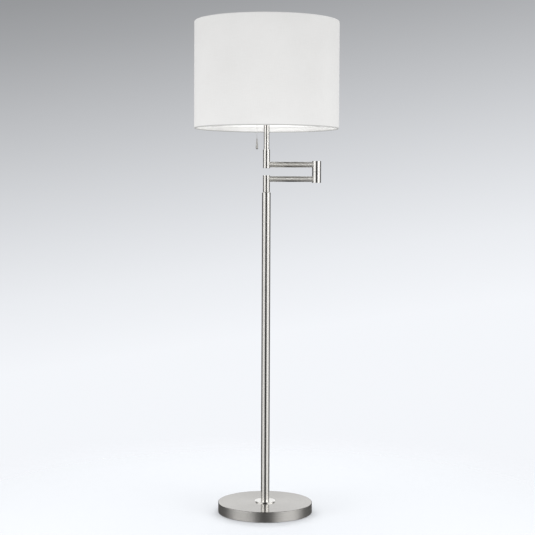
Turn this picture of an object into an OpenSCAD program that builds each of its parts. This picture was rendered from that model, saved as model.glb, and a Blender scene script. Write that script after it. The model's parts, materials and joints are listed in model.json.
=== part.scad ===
// Floor lamp: a weighted round base, a pole, an arm of two links that folds over itself,
// and a drum shade over a lampholder with a pull-chain switch.
// Lengths are millimetres. +Z is up, the pole stands on the Z axis, the arm folds out to +X.

/* [Base] */
// Diameter of the pressed base shell
base_d = 275; // [228:1:340]
// Height of the shell's top face above the floor
base_h = 30; // [28:0.5:40]
// Sheet thickness of the shell
shell_t = 1.2; // [0.8:0.1:1.4]
// Radius of the shell's upper edge
shell_edge_r = 1.6; // [1.5:0.1:4]
// Height of the shell's rim above the floor
rim_clear = 1; // [0.5:0.1:1.5]
// Thickness of the felt under the base
felt_t = 2; // [1.6:0.1:3]
// How far the felt's edge stays inside the shell's rim
felt_inset = 5; // [2:0.5:12]
// Thickness of the backing board above the felt
backing_t = 2; // [1:0.1:3]
// Free width between the cast weight and the shell's side
weight_margin = 21; // [5:1:40]
// Radius of the recess under the cast weight
recess_r = 42; // [41:1:60]
// Thickness of the cast weight above its recess
weight_web_t = 6; // [4:0.5:7]
// Width of the channel that leads a mains lead to the gland
channel_w = 12; // [11:0.5:20]
// Bore of the cable gland
gland_bore_d = 7; // [5:0.1:8]
// Wall of the gland's sleeve
gland_wall = 1.4; // [1:0.1:2]

/* [Pole] */
// Outer diameter of the pole
pole_d = 25; // [20.5:0.1:32]
// Wall of the pole
pole_wall = 1.5; // [1:0.1:2]
// Length of the pole tube
pole_len = 879; // [600:1:1100]
// Diameter of the polished washer under the pole
washer_d = 62; // [50:1:80]
// Thickness of that washer
washer_t = 3; // [2:0.5:5]
// Height of the collar on top of the pole
collar_h = 25; // [20:0.5:35]
// Radius of the collar's upper edge
collar_edge_r = 1.2; // [0.4:0.1:1.5]
// Length of the collar's tenon inside the pole
tenon_len = 24; // [12:0.5:40]
// Wall of that tenon
tenon_wall = 1.75; // [1.2:0.05:2.2]
// Height of the plug in the pole's foot
foot_plug_h = 20; // [12:0.5:40]

/* [Pole swivel] */
// Wall of the nylon bush
bush_wall = 1.6; // [1:0.1:1.8]
// Thickness of the thrust washer under the riser
thrust_t = 0.85; // [0.5:0.05:2]
// Length of the spindle's plug inside the riser
spindle_plug_h = 16; // [10:0.5:20]
// Diameter of the stop screw's thread
stop_screw_d = 5; // [4:0.1:6]
// Diameter of the stop screw's dog
stop_dog_d = 2.5; // [2:0.1:3]
// Depth of the stop groove in the journal
stop_depth = 1.4; // [1:0.1:1.6]
// Travel of the pole swivel each way from rest, in degrees
pole_travel = 160; // [90:1:160]

/* [Arm] */
// Distance from the pole's axis to the barrel's axis
arm_reach = 146; // [120:1:220]
// Outer diameter of the two arm tubes
arm_d = 16; // [13:0.1:17]
// Wall of the arm tubes
arm_wall = 1.5; // [1:0.1:2]
// Distance from an arm's centreline to the end of its riser and of its barrel
arm_inset = 10.5; // [9.5:0.1:11.5]
// Outer diameter of the two risers
riser_d = 20; // [17.5:0.1:26]
// Wall of the risers
riser_wall = 1.5; // [1:0.1:2]
// Length of the lower riser
lower_riser_len = 48; // [44:1:80]
// Length of the upper riser
upper_riser_len = 54; // [44:1:90]
// Thickness of the caps that close risers and barrels
cap_t = 2; // [1:0.1:2.4]

/* [Barrel hinge] */
// Outer diameter of the barrel
barrel_d = 26; // [25:0.1:34]
// Wall of the barrel
barrel_wall = 2.2; // [1.5:0.1:2.4]
// Height of each half of the barrel
barrel_half_h = 31.2; // [31:0.1:40]
// Gap between the two halves
barrel_gap = 0.6; // [0.5:0.1:1.2]
// Thickness of the web that carries the pivot in each half
web_t = 8; // [6:0.1:8]
// Diameter of the pivot bolt's shank
pivot_d = 12; // [11:0.1:13]
// Height of the pivot bolt's head
pivot_head_h = 3.5; // [2:0.1:3.8]
// Height of the pivot nut
pivot_nut_h = 3.4; // [2:0.1:3.5]
// Diameter of the stop dog between the halves
barrel_dog_d = 1.8; // [1.2:0.1:2]
// Travel of the barrel hinge each way from rest, in degrees
arm_travel = 170; // [90:1:170]

/* [Stem and lampholder] */
// How much smaller the stem's radius is than the riser's
stem_step = 2; // [0.5:0.1:2.3]
// Wall of the stem
stem_wall = 1.5; // [1:0.1:1.8]
// Length of the stem
stem_len = 79; // [65:1:140]
// Diameter of the switch housing
housing_d = 44; // [42:0.5:52]
// Height of the switch housing
housing_h = 34; // [33:0.5:45]
// Wall of the switch housing
housing_wall = 2; // [1.5:0.1:3]
// Diameter of the boss that guides the chain
boss_d = 15; // [14.5:0.1:18]
// Outer diameter of the lampholder's sleeve
sleeve_d = 40; // [39:0.1:40.5]
// Height of the lampholder's sleeve
sleeve_h = 36; // [34:0.5:45]
// Diameter of the shade nuts
shade_nut_d = 54; // [50:1:64]
// Height of each shade nut
shade_nut_h = 8; // [5:0.5:9]

/* [Pull switch] */
// Travel of the pull chain
pull_travel = 8; // [4:0.5:8]
// Diameter of the ball chain
chain_d = 1.8; // [1.6:0.1:2.8]
// Length of the pull knob
knob_len = 31; // [20:0.5:40]
// Largest diameter of the pull knob
knob_d = 7; // [5:0.1:9]

/* [Bulb] */
// Diameter of the bulb
bulb_d = 60; // [45:1:80]
// Wall of the bulb
bulb_wall = 0.8; // [0.5:0.1:1.5]
// Radius of the bulb's neck
bulb_neck_r = 13.6; // [13.4:0.1:16]
// Radius of the curve between neck and ball
bulb_shoulder_r = 40; // [25:1:60]

/* [Shade] */
// Outer diameter of the drum shade
shade_d = 420; // [340:1:520]
// Height of the drum shade
shade_h = 309; // [200:1:400]
// Thickness of the shade's fabric
fabric_t = 0.75; // [0.4:0.05:1.5]
// Thickness of the shade's lining
lining_t = 0.5; // [0.3:0.05:1]
// Wire diameter of the two shade rings
ring_wire_d = 3; // [2:0.1:5]
// Diameter of the fitter's spokes
spoke_d = 4; // [3:0.1:6]
// Height of the fitter's hub above the shade's lower edge
fitter_rise = 74; // [50:1:90]

/* [Fits] */
// Clearance between pieces that are fixed to each other
seat = 0.05; // [0.02:0.01:0.1]
// Radial clearance of a journal in its bore
running = 0.05; // [0.02:0.01:0.1]
// Axial play of a part that turns
axial_play = 0.15; // [0.1:0.05:0.3]
// Bore for the flex through nipples, spindle and pivot
wire_bore_d = 7; // [6:0.1:7.2]
// Diameter of the flex inside the lamp
flex_d = 4; // [3:0.1:5]
// Radius of the flex's bends
flex_bend_r = 8; // [7:0.1:8]

/* [Hidden] */
$fn = 96;
// How far a cutting shape reaches past the surface that it cuts
over = 1;

// Finishes
nickel = [0.72, 0.71, 0.69];
polished = [0.86, 0.86, 0.86];
zinc = [0.62, 0.63, 0.64];
brass = [0.80, 0.66, 0.34];
iron = [0.24, 0.24, 0.25];
nylon = [0.90, 0.89, 0.85];
white_plastic = [0.93, 0.93, 0.92];
black_plastic = [0.10, 0.10, 0.10];

// Heights, from the floor up
base_r = base_d / 2;
shell_inner_r = base_r - shell_t;
shell_under_z = base_h - shell_t;
backing_z = felt_t;
weight_z = felt_t + backing_t + 0.3;
weight_r = shell_inner_r - weight_margin;
recess_top_z = shell_under_z - weight_web_t;
nipple_r = 5;
lock_washer_t = 1.2;
base_nut_h = 5;
base_nut_z = recess_top_z - lock_washer_t - base_nut_h;
base_nipple_z = base_nut_z - 0.5;
gland_z = weight_z + 7.5;
pole_z = base_h + washer_t;
collar_z = pole_z + pole_len;
collar_top_z = collar_z + collar_h;
pole_inner_r = pole_d / 2 - pole_wall;
tenon_r = pole_inner_r - seat;
tenon_z = collar_z - tenon_len;
bush_r = tenon_r - tenon_wall - seat;
journal_r = bush_r - bush_wall - running;
riser_r = riser_d / 2;
riser_inner_r = riser_r - riser_wall;
lower_riser_z = collar_top_z + thrust_t + axial_play;
lower_arm_z = lower_riser_z + lower_riser_len - arm_inset;
circlip_t = 1;
circlip_z = tenon_z - axial_play - circlip_t;
journal_z = circlip_z - 1.5;
stop_z = collar_top_z - collar_h / 2;

// Heights in the barrel
barrel_r = barrel_d / 2;
barrel_inner_r = barrel_r - barrel_wall;
barrel_z = lower_arm_z - arm_inset;
split_z = barrel_z + barrel_half_h;
upper_half_z = split_z + barrel_gap;
barrel_top_z = upper_half_z + barrel_half_h;
upper_arm_z = barrel_top_z - arm_inset;
pivot_r = pivot_d / 2;
friction_t = 0.4;
disc_spring_t = 0.9;
disc_spring_rise = 0.4;
dog_ring_r = barrel_inner_r - 0.2;
dog_h = 2.2;

// Heights above the barrel
upper_riser_z = upper_arm_z - arm_inset;
upper_riser_top_z = upper_riser_z + upper_riser_len;
stem_d = riser_d - 2 * stem_step;
stem_inner_r = stem_d / 2 - stem_wall;
stem_top_z = upper_riser_top_z + stem_len;
stem_plug_h = 12;
stem_flange_t = 2;
housing_z = stem_top_z + stem_flange_t;
housing_r = housing_d / 2;
sleeve_z = housing_z + housing_h;
sleeve_r = sleeve_d / 2;
hub_t = 2;
hub_z = sleeve_z + 19;
shell_r = 13.9;
shell_wall = 0.5;
screw_shell_z = sleeve_z + 12;
insert_h = 10;
insert_z = sleeve_z + 1;
bulb_cap_r = 13.1;
bulb_cap_z = screw_shell_z + 2.6;
bulb_cap_h = 26;
bulb_r = bulb_d / 2;
bulb_neck_z = bulb_cap_z + bulb_cap_h - 4;

// Heights in the pull switch
chain_x = -28;
boss_floor_t = 3;
boss_bore_r = 5.2;
boss_roof_z = housing_z + housing_h - 2;
slider_h = 6;
slider_z = boss_roof_z - 1 - slider_h;
spring_solid_h = 10;
boss_z = slider_z - pull_travel - spring_solid_h - boss_floor_t;
spring_z = boss_z + boss_floor_t + 0.2;
spring_len = slider_z - 0.2 - spring_z;
spring_coil_r = 3.9;
spring_wire_r = 0.4;
spring_turns = 5;

// Places in the shade
shade_r = shade_d / 2;
lining_r = shade_r - fabric_t - seat;
lining_inner_r = lining_r - lining_t;
shade_z = hub_z - fitter_rise;
ring_r = lining_inner_r - seat - ring_wire_d / 2;
bottom_ring_z = shade_z + ring_wire_d / 2 + 0.5;
top_ring_z = shade_z + shade_h - ring_wire_d / 2 - 0.5;

// Centreline of the pull chain, from the slider down to the knob
chain_points = [
    [-28, 0, 1167], [-28, 0, 1162], [-28, 0, 1157], [-28, 0, 1152], [-28, 0, 1147], [-28, 0, 1142],
    [-28, 0, 1137], [-28, 0, 1132], [-28, 0, 1127], [-28, 0, 1122], [-28, 0, 1117], [-28, 0, 1112],
    [-28, 0, 1107], [-28, 0, 1102], [-28, 0, 1097], [-28, 0, 1093]
];
knob_top_z = chain_points[len(chain_points) - 1][2];

// ---- shared shapes ----

// Plain tube standing on z = 0
module pipe(outer_r, inner_r, h) {
    difference() {
        cylinder(r = outer_r, h = h);
        translate([0, 0, -over]) cylinder(r = inner_r, h = h + 2 * over);
    }
}

// Half section of a disc with its upper edge rounded
module rounded_section(r, h, edge) {
    square([r - edge, h]);
    square([r, h - edge]);
    translate([r - edge, h - edge]) circle(r = edge);
}

// Disc standing on z = 0 with its upper edge rounded
module rounded_disc(r, h, edge) {
    rotate_extrude() rounded_section(r, h, edge);
}

// Round wire bent into a ring
module wire_ring(r, wire_r) {
    rotate_extrude() translate([r, 0]) circle(r = wire_r);
}

// Ring with a rectangular section that turns through an angle centred on a direction
module ring_sector(inner_r, outer_r, h, angle, centre) {
    rotate([0, 0, centre - angle / 2])
        rotate_extrude(angle = angle)
            translate([inner_r, 0]) square([outer_r - inner_r, h]);
}

// Straight rod along +X
module rod_x(r, length) {
    rotate([0, 90, 0]) cylinder(r = r, h = length);
}

// Straight rod along +Y
module rod_y(r, length) {
    rotate([-90, 0, 0]) cylinder(r = r, h = length);
}

// Hexagon nut standing on z = 0
module hex_nut(across_flats, bore_r, h) {
    difference() {
        cylinder(r = across_flats / 2 / cos(30), h = h, $fn = 6);
        translate([0, 0, -over]) cylinder(r = bore_r, h = h + 2 * over);
    }
}

// Quarter bend of the flex in the XZ plane, its arc starting at the given angle
module flex_bend(start) {
    rotate([90, 0, 0])
        rotate([0, 0, start])
            rotate_extrude(angle = 90)
                translate([flex_bend_r, 0]) circle(d = flex_d);
}

// Unit vector along the line through a point's neighbours
function direction(points, i) =
    let (a = points[max(i - 1, 0)], b = points[min(i + 1, len(points) - 1)])
    (b - a) / norm(b - a);

// Two unit vectors square to a direction; `side` is any vector that isn't along it
function across(d, side) = let (u = cross(side, d) / norm(cross(side, d))) [u, cross(d, u)];

// Round tube swept along points
module swept_tube(points, r, sides, side) {
    rings = len(points);
    corners = [
        for (i = [0:rings - 1])
            let (axes = across(direction(points, i), side))
            for (k = [0:sides - 1])
                points[i] + r * (cos(360 * k / sides) * axes[0] + sin(360 * k / sides) * axes[1])
    ];
    walls = [
        for (i = [0:rings - 2], k = [0:sides - 1])
            let (a = i * sides + k, b = i * sides + (k + 1) % sides)
            each [[a, a + sides, b + sides], [a, b + sides, b]]
    ];
    ends = [[for (k = [0:sides - 1]) k], [for (k = [sides - 1:-1:0]) (rings - 1) * sides + k]];
    polyhedron(points = corners, faces = concat(walls, ends), convexity = 6);
}

// ---- base ----

module base_felt() {
    color([0.12, 0.12, 0.12]) cylinder(r = base_r - felt_inset, h = felt_t);
}

module base_backing() {
    color([0.36, 0.27, 0.18])
        translate([0, 0, backing_z]) cylinder(r = shell_inner_r - 2 * seat, h = backing_t);
}

module base_weight() {
    color(iron)
        difference() {
            translate([0, 0, weight_z]) cylinder(r = weight_r, h = shell_under_z - weight_z);
            translate([0, 0, weight_z - over]) cylinder(r = recess_r, h = recess_top_z - weight_z + over);
            translate([0, 0, recess_top_z - over]) cylinder(r = nipple_r + seat, h = weight_web_t + 2 * over);
            translate([-channel_w / 2, 0, weight_z - over])
                cube([channel_w, weight_r + over, gland_z + channel_w / 2 - weight_z + over]);
        }
}

module base_shell() {
    color(nickel)
        difference() {
            translate([0, 0, rim_clear]) rounded_disc(base_r, base_h - rim_clear, shell_edge_r);
            translate([0, 0, rim_clear - over])
                rounded_disc(shell_inner_r, shell_under_z - rim_clear + over, shell_edge_r - shell_t);
            translate([0, 0, shell_under_z - over]) cylinder(r = nipple_r + seat, h = shell_t + 2 * over);
            translate([0, base_r - 10, gland_z]) rod_y(gland_bore_d / 2 + gland_wall + seat, 20);
        }
}

// Flanged sleeve through the shell's rear wall, where a mains lead enters
module cable_gland() {
    sleeve = gland_bore_d / 2 + gland_wall;
    inner_y = shell_inner_r - 8;
    flange_y = base_r + 0.2;
    flange_t = 2;
    color(black_plastic)
        translate([0, 0, gland_z])
            difference() {
                union() {
                    translate([0, inner_y, 0]) rod_y(sleeve, flange_y + flange_t - inner_y);
                    translate([0, flange_y, 0]) rod_y(sleeve + 2, flange_t);
                    translate([0, inner_y, 0]) rod_y(sleeve + 1.5, shell_inner_r - inner_y - 1.5);
                }
                translate([0, inner_y - over, 0]) rod_y(gland_bore_d / 2, flange_y + flange_t - inner_y + 2 * over);
            }
}

flex_floor_z = weight_z + 3.7;
terminal_y = flex_bend_r + 8;

// Two-pole terminal block in the recess
module terminal_block() {
    width = 18;
    depth = 20;
    height = 11;
    pole_pitch = 8;
    screw_r = 1.8;
    color(white_plastic)
        translate([0, terminal_y, weight_z + 0.2])
            difference() {
                translate([-width / 2, 0, 0]) cube([width, depth, height]);
                for (side = [-1, 1])
                    for (row = [1, 3])
                        translate([side * pole_pitch / 2, row * depth / 4, height - 4])
                            cylinder(r = screw_r, h = 4 + over);
            }
}

module pole_washer() {
    color(polished)
        translate([0, 0, base_h])
            difference() {
                rounded_disc(washer_d / 2, washer_t, 0.8);
                translate([0, 0, -over]) cylinder(r = nipple_r + seat, h = washer_t + 2 * over);
            }
}

module base_nipple() {
    color(brass)
        translate([0, 0, base_nipple_z])
            pipe(nipple_r, wire_bore_d / 2, pole_z + foot_plug_h - 2 - base_nipple_z);
}

module base_lock_washer() {
    color(zinc)
        translate([0, 0, recess_top_z - lock_washer_t])
            difference() {
                cylinder(r = nipple_r + 5, h = lock_washer_t);
                translate([0, 0, -over]) cylinder(r = nipple_r + 2 * seat, h = lock_washer_t + 2 * over);
                for (i = [0:7])
                    rotate([0, 0, i * 45])
                        translate([nipple_r + 5, 0, -over]) cylinder(r = 0.8, h = lock_washer_t + 2 * over);
            }
}

module base_nut() {
    color(zinc) translate([0, 0, base_nut_z]) hex_nut(14, nipple_r + seat, base_nut_h);
}

// ---- pole ----

module pole_tube() {
    color(nickel) translate([0, 0, pole_z]) pipe(pole_d / 2, pole_inner_r, pole_len);
}

module pole_foot_plug() {
    color(zinc) translate([0, 0, pole_z]) pipe(pole_inner_r - seat, nipple_r + seat, foot_plug_h);
}

module pole_top_collar() {
    color(nickel)
        difference() {
            union() {
                translate([0, 0, collar_z]) rounded_disc(pole_d / 2, collar_h, collar_edge_r);
                translate([0, 0, tenon_z]) cylinder(r = tenon_r, h = tenon_len + over);
            }
            translate([0, 0, tenon_z - over])
                cylinder(r = bush_r + seat, h = tenon_len + collar_h + 2 * over);
            translate([0, 0, stop_z]) rod_y(stop_screw_d / 2 + seat, pole_d);
        }
}

module swivel_bush() {
    color(nylon)
        difference() {
            translate([0, 0, tenon_z]) pipe(bush_r, journal_r + running, tenon_len + collar_h);
            translate([0, 0, stop_z]) rod_y(stop_dog_d / 2 + 2 * seat, pole_d);
        }
}

// Grub screw in the back of the collar; its dog runs in the journal's groove
module stop_screw() {
    dog_end = journal_r - stop_depth + 2 * running;
    thread_end = bush_r + 2 * seat;
    head = pole_d / 2 - 0.4;
    color(zinc)
        translate([0, 0, stop_z])
            difference() {
                union() {
                    translate([0, dog_end, 0]) rod_y(stop_dog_d / 2, thread_end - dog_end + 0.1);
                    translate([0, thread_end, 0]) rod_y(stop_screw_d / 2, head - thread_end);
                }
                translate([0, head - 1.6, 0])
                    rotate([-90, 0, 0]) cylinder(d = 2.9, h = 1.6 + over, $fn = 6);
            }
}

// Inner flex from the terminal block up the pole, to the swivel
module flex_stand() {
    color(white_plastic) {
        translate([0, flex_bend_r, flex_floor_z]) rod_y(flex_d / 2, terminal_y - flex_bend_r - seat);
        rotate([0, 0, 90]) translate([flex_bend_r, 0, flex_floor_z + flex_bend_r]) flex_bend(180);
        translate([0, 0, flex_floor_z + flex_bend_r])
            cylinder(d = flex_d, h = collar_top_z - axial_play - flex_floor_z - flex_bend_r);
    }
}

// ---- lower arm ----

module thrust_washer() {
    color(nylon)
        translate([0, 0, collar_top_z + axial_play])
            pipe(min(riser_r, pole_d / 2) - 0.3, journal_r + 2 * running, thrust_t - axial_play + seat);
}

module swivel_spindle() {
    groove_angle = 2 * (pole_travel + asin((stop_dog_d / 2 + 2 * running) / (journal_r - stop_depth)));
    groove_h = stop_dog_d + 0.4;
    plug_z = lower_riser_z;
    color(zinc)
        difference() {
            union() {
                translate([0, 0, journal_z]) cylinder(r = journal_r, h = plug_z - journal_z);
                translate([0, 0, plug_z]) cylinder(r = riser_inner_r - seat, h = spindle_plug_h);
            }
            translate([0, 0, journal_z - over])
                cylinder(d = wire_bore_d, h = plug_z + spindle_plug_h - journal_z + 2 * over);
            translate([0, 0, stop_z - groove_h / 2])
                ring_sector(journal_r - stop_depth, journal_r + over, groove_h, groove_angle, 90);
            translate([0, 0, circlip_z - seat])
                ring_sector(journal_r - 0.7, journal_r + over, circlip_t + 2 * seat, 360, 0);
        }
}

module spindle_circlip() {
    color(zinc)
        translate([0, 0, circlip_z]) ring_sector(journal_r - 0.65, journal_r + 1.2, circlip_t, 310, 90);
}

// Vertical tube that an arm is welded to
module riser(z, length, arm_z) {
    color(nickel)
        difference() {
            translate([0, 0, z]) pipe(riser_r, riser_inner_r, length);
            translate([0, 0, arm_z]) rod_x(arm_d / 2 - arm_wall, riser_r + over);
        }
}

// Arm tube, coped to the riser and to the barrel
module arm_tube(z) {
    color(nickel)
        difference() {
            translate([0, 0, z]) rod_x(arm_d / 2, arm_reach);
            translate([-over, 0, z]) rod_x(arm_d / 2 - arm_wall, arm_reach + 2 * over);
            translate([0, 0, z - arm_d]) cylinder(r = riser_r + seat, h = 2 * arm_d);
            translate([arm_reach, 0, z - arm_d]) cylinder(r = barrel_r + seat, h = 2 * arm_d);
        }
}

module riser_cap(z) {
    color(nickel) translate([0, 0, z]) cylinder(r = riser_inner_r - seat, h = cap_t);
}

module lower_riser() { riser(lower_riser_z, lower_riser_len, lower_arm_z); }
module lower_riser_cap() { riser_cap(lower_riser_z + lower_riser_len - cap_t); }
module lower_arm_tube() { arm_tube(lower_arm_z); }

// ---- barrel hinge ----

// Lower half of the barrel: a cup that opens downwards, with the stop dog on its top face
module barrel_lower() {
    color(nickel)
        difference() {
            translate([arm_reach, 0, barrel_z])
                difference() {
                    union() {
                        cylinder(r = barrel_r, h = barrel_half_h);
                        translate([-dog_ring_r, 0, barrel_half_h - over])
                            cylinder(d = barrel_dog_d, h = dog_h + over);
                    }
                    translate([0, 0, -over]) cylinder(r = barrel_inner_r, h = barrel_half_h - web_t + over);
                    cylinder(r = pivot_r + seat, h = barrel_half_h + over);
                }
            translate([arm_reach - barrel_r - over, 0, lower_arm_z])
                rod_x(arm_d / 2 - arm_wall, barrel_r);
        }
}

// Upper half of the barrel: a cup that opens upwards, with the dog's groove in its lower face
module barrel_upper() {
    groove_r = barrel_dog_d / 2 + 0.2;
    groove_angle = 2 * (arm_travel + asin(groove_r / dog_ring_r));
    color(nickel)
        difference() {
            translate([arm_reach, 0, upper_half_z])
                difference() {
                    cylinder(r = barrel_r, h = barrel_half_h);
                    translate([0, 0, web_t]) cylinder(r = barrel_inner_r, h = barrel_half_h);
                    translate([0, 0, -over]) cylinder(r = pivot_r + running, h = barrel_half_h);
                    translate([0, 0, -over])
                        ring_sector(dog_ring_r - groove_r, dog_ring_r + groove_r, dog_h + over, groove_angle, 180);
                }
            translate([arm_reach - barrel_r - over, 0, upper_arm_z])
                rod_x(arm_d / 2 - arm_wall, barrel_r);
        }
}

module barrel_cap(z) {
    color(nickel) translate([arm_reach, 0, z]) cylinder(r = barrel_inner_r - seat, h = cap_t);
}

module barrel_lower_cap() { barrel_cap(barrel_z); }
module barrel_upper_cap() { barrel_cap(barrel_top_z - cap_t); }

spring_seat_z = upper_half_z + web_t + axial_play;
pivot_nut_z = spring_seat_z + disc_spring_t + disc_spring_rise;

// Hollow bolt, keyed in the lower half, that the upper half turns on
module pivot_bolt() {
    shank_z = split_z - web_t;
    color(zinc)
        translate([arm_reach, 0, 0])
            difference() {
                union() {
                    translate([0, 0, shank_z]) cylinder(r = pivot_r, h = pivot_nut_z + pivot_nut_h + 0.4 - shank_z);
                    translate([0, 0, shank_z - pivot_head_h]) cylinder(r = pivot_r + 3, h = pivot_head_h - seat);
                    translate([0, 0, shank_z - pivot_head_h]) cylinder(r = pivot_r, h = pivot_head_h + over);
                }
                translate([0, 0, shank_z - pivot_head_h - over])
                    cylinder(d = wire_bore_d, h = pivot_nut_z + pivot_nut_h + pivot_head_h + 3 * over - shank_z);
            }
}

module friction_disc() {
    color(nylon)
        translate([arm_reach, 0, split_z]) pipe(dog_ring_r - barrel_dog_d / 2 - 0.4, pivot_r + 2 * seat, friction_t);
}

// Conical spring washer that loads the friction disc
module disc_spring() {
    inner = pivot_r + 3 * seat;
    outer = pivot_r + 3;
    color(zinc)
        translate([arm_reach, 0, spring_seat_z])
            rotate_extrude()
                polygon([
                    [inner, disc_spring_rise], [outer, 0],
                    [outer, disc_spring_t], [inner, disc_spring_t + disc_spring_rise]
                ]);
}

module pivot_nut() {
    color(zinc)
        translate([arm_reach, 0, pivot_nut_z + seat]) hex_nut(2 * pivot_r + 5, pivot_r + seat, pivot_nut_h - seat);
}

// Inner flex from the pole swivel through the lower arm, to the barrel hinge
module flex_lower_arm() {
    far_x = arm_reach - flex_bend_r;
    start_z = collar_top_z + axial_play;
    color(white_plastic) {
        translate([0, 0, start_z]) cylinder(d = flex_d, h = lower_arm_z - flex_bend_r - start_z);
        translate([flex_bend_r, 0, lower_arm_z - flex_bend_r]) flex_bend(90);
        translate([flex_bend_r, 0, lower_arm_z]) rod_x(flex_d / 2, far_x - flex_bend_r);
        translate([far_x, 0, lower_arm_z + flex_bend_r]) flex_bend(-90);
        translate([arm_reach, 0, lower_arm_z + flex_bend_r])
            cylinder(d = flex_d, h = split_z + axial_play - lower_arm_z - flex_bend_r);
    }
}

// ---- upper arm ----

module upper_riser() { riser(upper_riser_z, upper_riser_len, upper_arm_z); }
module upper_riser_cap() { riser_cap(upper_riser_z); }
module upper_arm_tube() { arm_tube(upper_arm_z); }

// Stepped plug that joins the stem to the riser
module stem_coupler() {
    step = 12;
    color(zinc)
        translate([0, 0, upper_riser_top_z])
            difference() {
                union() {
                    translate([0, 0, -step]) cylinder(r = riser_inner_r - seat, h = step);
                    translate([0, 0, -seat]) cylinder(r = min(stem_inner_r, riser_inner_r) - seat, h = step);
                }
                translate([0, 0, -step - over]) cylinder(d = wire_bore_d, h = 2 * step + 2 * over);
            }
}

module stem_tube() {
    color(nickel) translate([0, 0, upper_riser_top_z]) pipe(stem_d / 2, stem_inner_r, stem_len);
}

module stem_top_plug() {
    color(zinc)
        difference() {
            union() {
                translate([0, 0, stem_top_z - stem_plug_h]) cylinder(r = stem_inner_r - seat, h = stem_plug_h + over);
                translate([0, 0, stem_top_z]) cylinder(d = stem_d, h = stem_flange_t);
            }
            translate([0, 0, stem_top_z - stem_plug_h - over])
                cylinder(r = nipple_r + seat, h = stem_plug_h + stem_flange_t + 2 * over);
        }
}

module stem_nipple() {
    color(brass)
        translate([0, 0, stem_top_z - stem_plug_h + 1])
            pipe(nipple_r, wire_bore_d / 2, stem_plug_h + stem_flange_t + housing_wall + 6);
}

module stem_locknut() {
    color(zinc) translate([0, 0, housing_z + housing_wall]) hex_nut(14, nipple_r + seat, 4);
}

// Inner flex from the barrel hinge through the upper arm and the stem, to the lampholder
module flex_upper_arm() {
    far_x = arm_reach - flex_bend_r;
    start_z = split_z + 3 * axial_play;
    color(white_plastic) {
        translate([arm_reach, 0, start_z]) cylinder(d = flex_d, h = upper_arm_z - flex_bend_r - start_z);
        translate([far_x, 0, upper_arm_z - flex_bend_r]) flex_bend(0);
        translate([flex_bend_r, 0, upper_arm_z]) rod_x(flex_d / 2, far_x - flex_bend_r);
        translate([flex_bend_r, 0, upper_arm_z + flex_bend_r]) flex_bend(180);
        translate([0, 0, upper_arm_z + flex_bend_r])
            cylinder(d = flex_d, h = insert_z - seat - upper_arm_z - flex_bend_r);
    }
}

// ---- lampholder ----

// Round housing with a boss at its side for the slider and its spring
module switch_housing() {
    web_w = 10;
    eyelet_r = 3.4;
    color(white_plastic)
        difference() {
            union() {
                translate([0, 0, housing_z]) rounded_disc(housing_r, housing_h, 1.5);
                translate([chain_x, 0, boss_z]) cylinder(d = boss_d, h = housing_h - boss_z + housing_z);
                translate([chain_x, -web_w / 2, boss_z]) cube([-chain_x, web_w, housing_h - boss_z + housing_z]);
            }
            difference() {
                translate([0, 0, housing_z + housing_wall])
                    cylinder(r = housing_r - housing_wall, h = housing_h - 2 * housing_wall);
                translate([chain_x, 0, housing_z])
                    cylinder(d = boss_d, h = housing_h);
            }
            translate([0, 0, housing_z - over]) cylinder(r = nipple_r + seat, h = 2 * housing_wall);
            translate([0, 0, housing_z + housing_h - 2 * housing_wall])
                cylinder(r = flex_d / 2 + 2, h = 2 * housing_wall + over);
            translate([chain_x, 0, boss_z + boss_floor_t])
                cylinder(r = boss_bore_r, h = boss_roof_z - boss_z - boss_floor_t);
            translate([chain_x, 0, boss_z - over]) cylinder(r = eyelet_r + seat, h = boss_floor_t + 2 * over);
        }
}

// Flanged metal eyelet that the chain hangs through
module chain_eyelet() {
    eyelet_r = 3.4;
    bore_r = chain_d / 2 + 0.5;
    color(polished)
        translate([chain_x, 0, boss_z])
            difference() {
                union() {
                    translate([0, 0, -1.5]) cylinder(r = 5, h = 1.5 - seat);
                    translate([0, 0, -1.5]) cylinder(r = eyelet_r, h = 1.5 + boss_floor_t);
                }
                translate([0, 0, -1.5 - over]) cylinder(r = bore_r, h = boss_floor_t + 1.5 + 2 * over);
                translate([0, 0, -1.5 - seat]) cylinder(r1 = bore_r + 1.2, r2 = bore_r, h = 1.2);
            }
}

// Return spring under the slider
module switch_spring() {
    steps = 12;
    helix = [
        for (i = [0:spring_turns * steps])
            let (a = 360 * i / steps)
            [
                chain_x + spring_coil_r * cos(a), spring_coil_r * sin(a),
                spring_z + spring_wire_r + (spring_len - 2 * spring_wire_r) * i / (spring_turns * steps)
            ]
    ];
    color(zinc) swept_tube(helix, spring_wire_r, 6, [0, 0, 1]);
}

// Sleeve with the ridges that the two shade nuts run on
module lampholder_sleeve() {
    ridge = 0.6;
    pitch = 3;
    inner_r = 17.4;
    color(white_plastic)
        translate([0, 0, sleeve_z])
            difference() {
                union() {
                    cylinder(r = sleeve_r - ridge, h = sleeve_h);
                    cylinder(r = sleeve_r, h = 6);
                    for (i = [0:8])
                        translate([0, 0, 8 + i * pitch]) {
                            cylinder(r1 = sleeve_r - ridge, r2 = sleeve_r, h = pitch / 3);
                            translate([0, 0, pitch / 3])
                                cylinder(r1 = sleeve_r, r2 = sleeve_r - ridge, h = pitch / 3);
                        }
                }
                translate([0, 0, -over]) cylinder(r = inner_r, h = sleeve_h - 1);
                cylinder(r = shell_r + 1.2, h = sleeve_h + over);
            }
}

// Porcelain block that carries the contacts
module lampholder_insert() {
    color([0.95, 0.94, 0.90])
        translate([0, 0, insert_z])
            difference() {
                cylinder(r = 17.2, h = insert_h);
                for (i = [0:1])
                    rotate([0, 0, 90 + i * 180])
                        translate([11, 0, insert_h - 4]) cylinder(r = 2.2, h = 4 + over);
            }
}

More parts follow.
